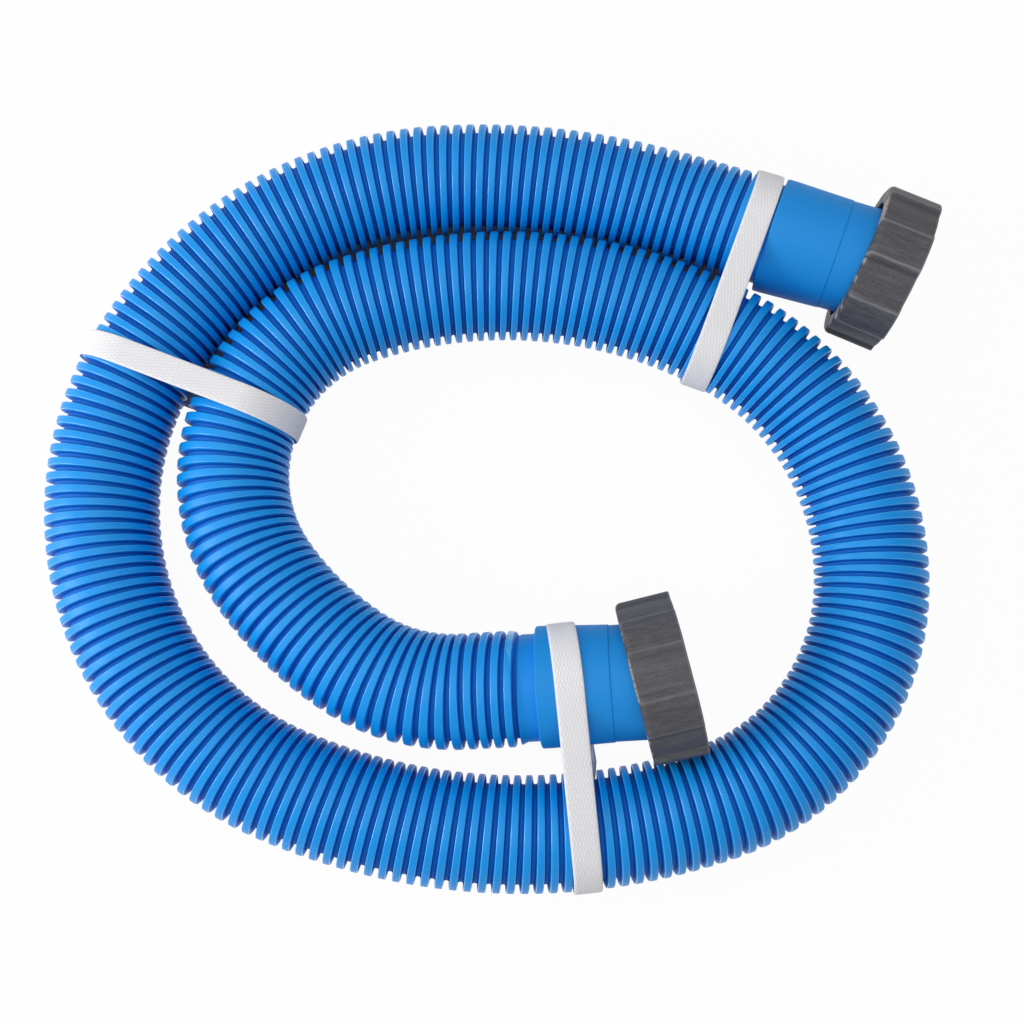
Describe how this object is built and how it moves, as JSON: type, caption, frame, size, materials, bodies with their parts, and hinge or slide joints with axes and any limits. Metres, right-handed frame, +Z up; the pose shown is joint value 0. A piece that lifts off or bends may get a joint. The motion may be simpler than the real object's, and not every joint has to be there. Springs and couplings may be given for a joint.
{
  "type": "vacuum hose",
  "caption": "Short ribbed hose for a pool, coiled flat and tied with woven straps, with a smooth cuff and a loose lugged swivel nut on each end.",
  "frame": {"origin": "centre of the whole coil's box in plan, on the surface that it lies on", "axes": "+Z up out of the coil; +X along the coil's longer side, to the right of a viewer who has both nuts on the right; +Y to the far side"},
  "size_m": [0.3808, 0.3311, 0.0763],
  "materials": {
    "hose_blue": "satin flexible plastic",
    "cuff_blue": "smooth moulded plastic, slightly glossy",
    "nut_grey": "matte moulded plastic, scuffed at the edges",
    "gasket_black": "matte rubber",
    "strap_white": "flat woven webbing"
  },
  "bodies": {
    "root": {"hose": "hose_blue", "cuff_a": "cuff_blue", "cuff_b": "cuff_blue", "tailpiece_a": "cuff_blue", "tailpiece_b": "cuff_blue", "strap_left": "strap_white", "strap_top": "strap_white", "strap_bottom": "strap_white"},
    "seal_a": {"gasket_a": "gasket_black"},
    "nut_a": {"nut_a": "nut_grey"},
    "seal_b": {"gasket_b": "gasket_black"},
    "nut_b": {"nut_b": "nut_grey"}
  },
  "joints": [
    {"name": "nut_a_spin", "type": "hinge", "parent": "root", "child": "seal_a", "pos_m": [0.1625, 0.09907, 0.03407], "axis": [0.9171, -0.3987, 0], "continuous": true},
    {"name": "nut_a_slide", "type": "slide", "parent": "seal_a", "child": "nut_a", "axis": [0.9171, -0.3987, 0], "range_m": [-0.004, 0]},
    {"name": "nut_b_spin", "type": "hinge", "parent": "root", "child": "seal_b", "pos_m": [0.06329, -0.0797, 0.04227], "axis": [0.967, 0.2322, 0.1045], "continuous": true},
    {"name": "nut_b_slide", "type": "slide", "parent": "seal_b", "child": "nut_b", "axis": [0.967, 0.2322, 0.1045], "range_m": [-0.0025, 0]}
  ]
}
